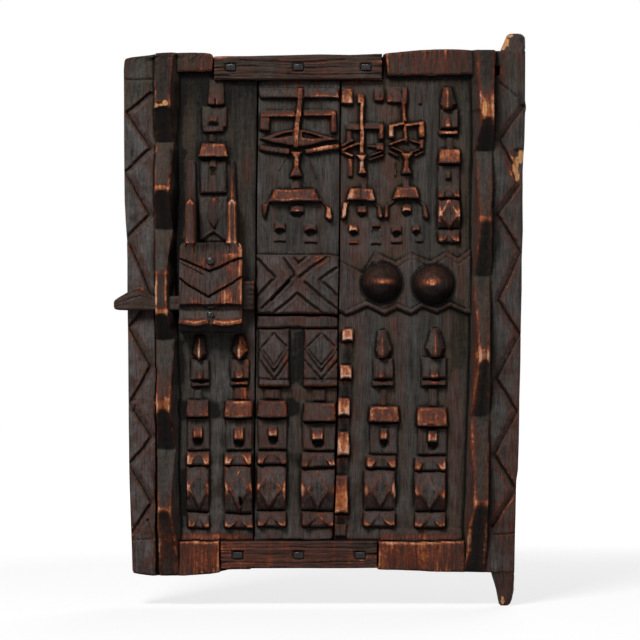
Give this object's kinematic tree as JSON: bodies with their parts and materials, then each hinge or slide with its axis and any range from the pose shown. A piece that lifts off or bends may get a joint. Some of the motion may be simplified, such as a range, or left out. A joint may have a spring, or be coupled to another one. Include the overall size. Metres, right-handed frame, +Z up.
{
  "type": "granary door",
  "caption": "Carved wooden granary door of joined planks with pillar figures, a sliding bolt lock and two pivots for hanging it in a frame.",
  "frame": {"origin": "middle of the lower pivot, on the axis the leaf turns about", "axes": "+Z up along the leaf, +X towards the hinge side's right as seen from the carved face, -Y out of the carved face; the pivot axis leans 1 degree from +Z towards +X"},
  "size_m": [0.5318, 0.0685, 0.7438],
  "materials": {
    "plank_wood": "dark hand-carved wood, worn on the edges",
    "batten_wood": "dark wood with open grain along the batten",
    "lock_wood": "dark carved wood polished by hands",
    "iron": "hand-forged iron, blackened"
  },
  "bodies": {
    "leaf": {"left_plank": "plank_wood", "middle_plank": "plank_wood", "right_plank": "plank_wood", "top_batten": "batten_wood", "bottom_batten": "batten_wood", "top_left_staple": "iron", "top_middle_staple": "iron", "top_right_staple": "iron", "bottom_left_staple": "iron", "bottom_middle_staple": "iron", "bottom_right_staple": "iron", "lock_case": "lock_wood", "lower_spike": "iron", "upper_spike": "iron"},
    "bolt": {"lock_bolt": "lock_wood"},
    "left_tumbler": {"left_tumbler": "iron"},
    "middle_tumbler": {"middle_tumbler": "iron"},
    "right_tumbler": {"right_tumbler": "iron"}
  },
  "joints": [
    {"name": "bolt_slide", "type": "slide", "parent": "leaf", "child": "bolt", "axis": [-1, 0, 0], "range_m": [0, 0.033]},
    {"name": "left_tumbler_lift", "type": "slide", "parent": "leaf", "child": "left_tumbler", "axis": [0, 0, 1], "range_m": [0, 0.01]},
    {"name": "middle_tumbler_lift", "type": "slide", "parent": "leaf", "child": "middle_tumbler", "axis": [0, 0, 1], "range_m": [0, 0.01]},
    {"name": "right_tumbler_lift", "type": "slide", "parent": "leaf", "child": "right_tumbler", "axis": [0, 0, 1], "range_m": [0, 0.01]}
  ]
}
